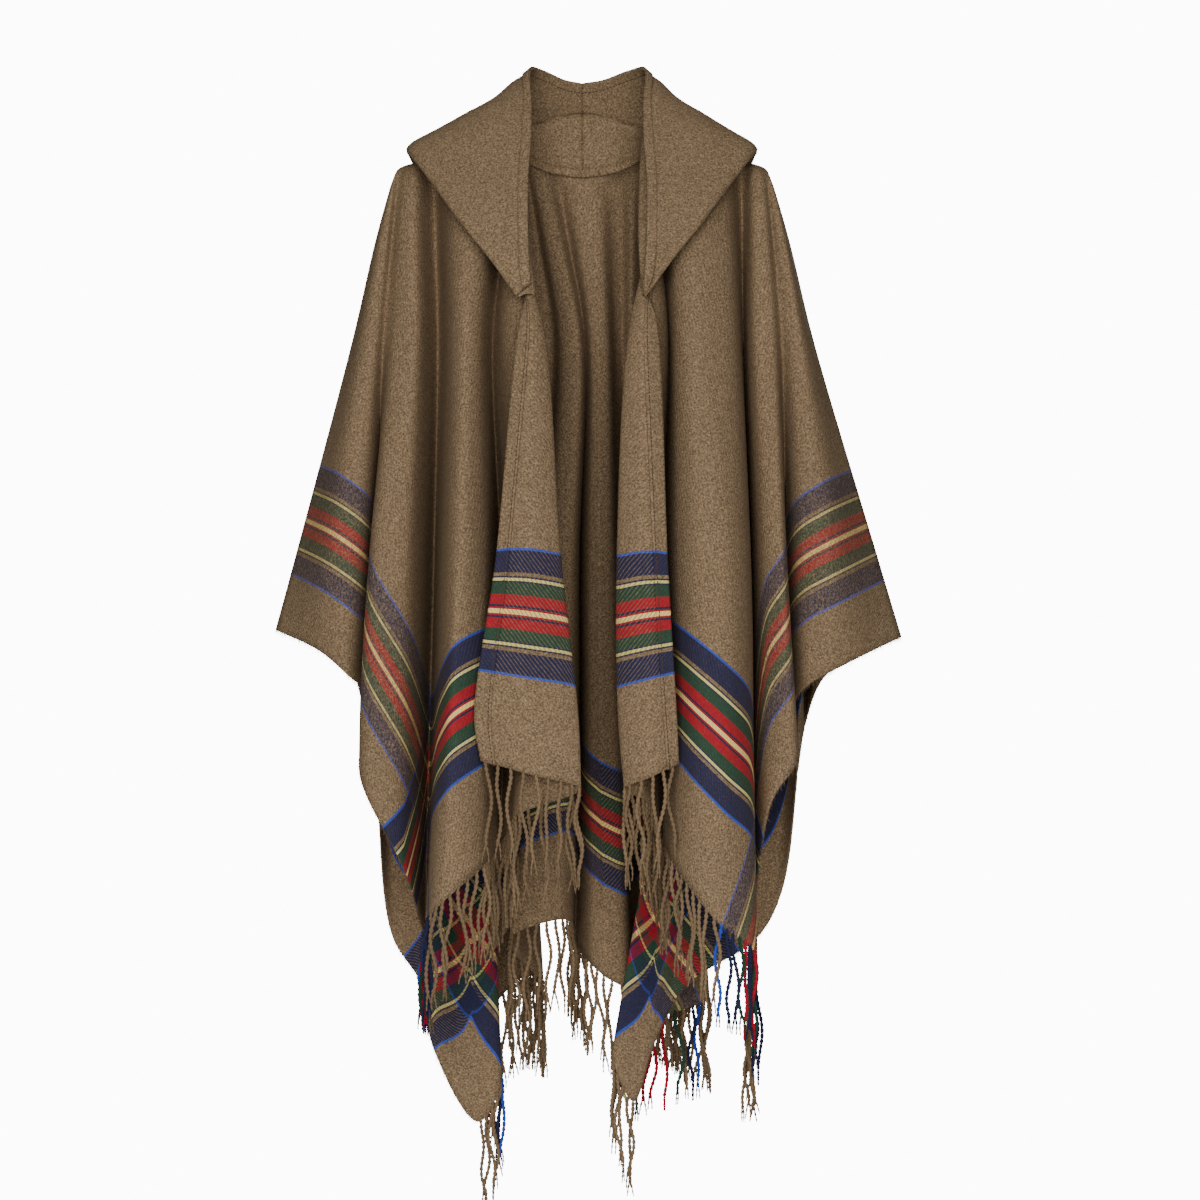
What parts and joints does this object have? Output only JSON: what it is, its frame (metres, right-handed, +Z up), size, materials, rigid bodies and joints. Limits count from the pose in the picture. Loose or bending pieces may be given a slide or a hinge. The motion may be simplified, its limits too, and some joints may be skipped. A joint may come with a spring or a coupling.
{
  "type": "hooded cape",
  "caption": "Fringed blanket cape with a front slit and a hood hanging behind, worn hollow over the shoulders.",
  "frame": {"origin": "between the shoulders at the base of the neck, where the wearer holds the cape up", "axes": "+Z up, -Y to the wearer's front, +X to the wearer's left (the viewer's right from the front)"},
  "size_m": [0.6264, 0.3767, 1.1658],
  "materials": {
    "cloth": "matt brushed twill"
  },
  "bodies": {
    "root": {"blanket": "cloth", "hood_left": "cloth", "hood_right": "cloth", "hood_hem_left": "cloth", "hood_hem_right": "cloth", "opening_hem_left": "cloth", "opening_hem_right": "cloth", "neck_binding": "cloth", "fringe_front_left": "cloth", "fringe_front_right": "cloth", "fringe_back": "cloth"}
  },
  "joints": []
}
